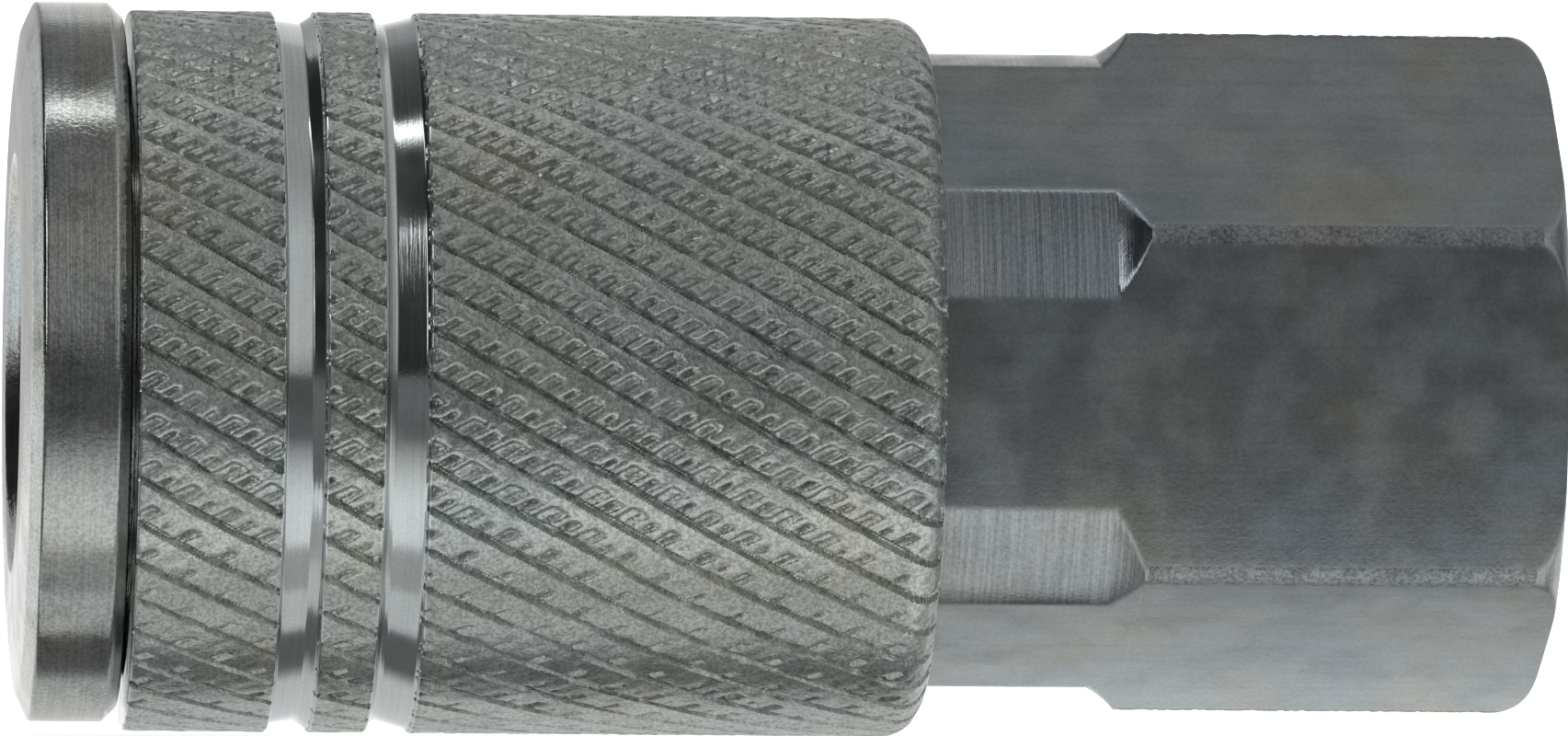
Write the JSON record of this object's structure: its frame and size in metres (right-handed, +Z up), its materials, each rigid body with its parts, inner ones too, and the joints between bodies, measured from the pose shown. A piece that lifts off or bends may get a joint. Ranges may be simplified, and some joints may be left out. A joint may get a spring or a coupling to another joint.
{
  "type": "quick disconnect coupler",
  "caption": "Ball-lock quick disconnect coupler for an air line: knurled pull-back sleeve, shut-off valve, plug socket at one end and hexagon with female pipe thread at the other.",
  "frame": {"origin": "centre of the pipe thread's mouth, on the end face of the hexagon", "axes": "+X along the coupler's axis, out of the pipe thread's mouth; the plug enters at the nose from -X; +Z is up as the coupler lies, and the loose sleeve hangs a little towards -Z"},
  "size_m": [0.0487, 0.023, 0.0231],
  "materials": {
    "plated_hex": "clear zinc plate over a milled hexagon, with fine turning lines on the neck",
    "plated_nose": "clear zinc plate over fine turning, faint yellow and blue iridescence",
    "plated_knurl": "clear zinc plate over a diamond knurl, bright grooves",
    "spring_steel": "drawn wire, lightly oiled",
    "washer_steel": "stamped steel, zinc plated",
    "ball_steel": "polished bearing steel",
    "seal_rubber": "matt nitrile rubber",
    "brass": "turned brass"
  },
  "bodies": {
    "body": {"hex_adapter": "plated_hex", "socket_body": "plated_nose", "seal_retainer": "brass", "plug_seal": "seal_rubber", "joint_seal": "seal_rubber", "valve_guide": "brass", "spring_washer_back": "washer_steel", "sleeve_spring": "spring_steel", "valve_spring": "spring_steel"},
    "sleeve_carriage": {"spring_washer_front": "washer_steel"},
    "sleeve": {"knurled_sleeve": "plated_knurl"},
    "valve": {"valve_nose": "brass", "valve_seal": "seal_rubber", "valve_stem": "brass"},
    "ball_1": {"lock_ball_1": "ball_steel"},
    "ball_2": {"lock_ball_2": "ball_steel"},
    "ball_3": {"lock_ball_3": "ball_steel"},
    "ball_4": {"lock_ball_4": "ball_steel"},
    "ball_5": {"lock_ball_5": "ball_steel"},
    "ball_6": {"lock_ball_6": "ball_steel"}
  },
  "joints": [
    {"name": "sleeve_slide", "type": "slide", "parent": "body", "child": "sleeve_carriage", "axis": [1, 0, 0], "range_m": [0, 0.0045], "stiffness_N_per_m": 2500, "springref_m": -0.004, "deforming": ["sleeve_spring"]},
    {"name": "sleeve_turn", "type": "hinge", "parent": "sleeve_carriage", "child": "sleeve", "pos_m": [-0.03, 0, -0.00025], "axis": [1, 0, 0], "continuous": true},
    {"name": "valve_slide", "type": "slide", "parent": "body", "child": "valve", "axis": [1, 0, 0], "range_m": [0, 0.003], "stiffness_N_per_m": 1500, "springref_m": -0.003, "deforming": ["valve_spring"]},
    {"name": "ball_1_slide", "type": "slide", "parent": "body", "child": "ball_1", "axis": [0, 0, 1], "range_m": [0, 0.00091]},
    {"name": "ball_2_slide", "type": "slide", "parent": "body", "child": "ball_2", "axis": [0, -0.866, 0.5], "range_m": [0, 0.00091]},
    {"name": "ball_3_slide", "type": "slide", "parent": "body", "child": "ball_3", "axis": [0, -0.866, -0.5], "range_m": [0, 0.00091]},
    {"name": "ball_4_slide", "type": "slide", "parent": "body", "child": "ball_4", "axis": [0, 0, -1], "range_m": [0, 0.00091]},
    {"name": "ball_5_slide", "type": "slide", "parent": "body", "child": "ball_5", "axis": [0, 0.866, -0.5], "range_m": [0, 0.00091]},
    {"name": "ball_6_slide", "type": "slide", "parent": "body", "child": "ball_6", "axis": [0, 0.866, 0.5], "range_m": [0, 0.00091]}
  ],
  "couplings": [
    {"joint": "ball_1_slide", "follows": "sleeve_slide", "ratio": 0.2},
    {"joint": "ball_2_slide", "follows": "sleeve_slide", "ratio": 0.2},
    {"joint": "ball_3_slide", "follows": "sleeve_slide", "ratio": 0.2},
    {"joint": "ball_4_slide", "follows": "sleeve_slide", "ratio": 0.2},
    {"joint": "ball_5_slide", "follows": "sleeve_slide", "ratio": 0.2},
    {"joint": "ball_6_slide", "follows": "sleeve_slide", "ratio": 0.2}
  ]
}
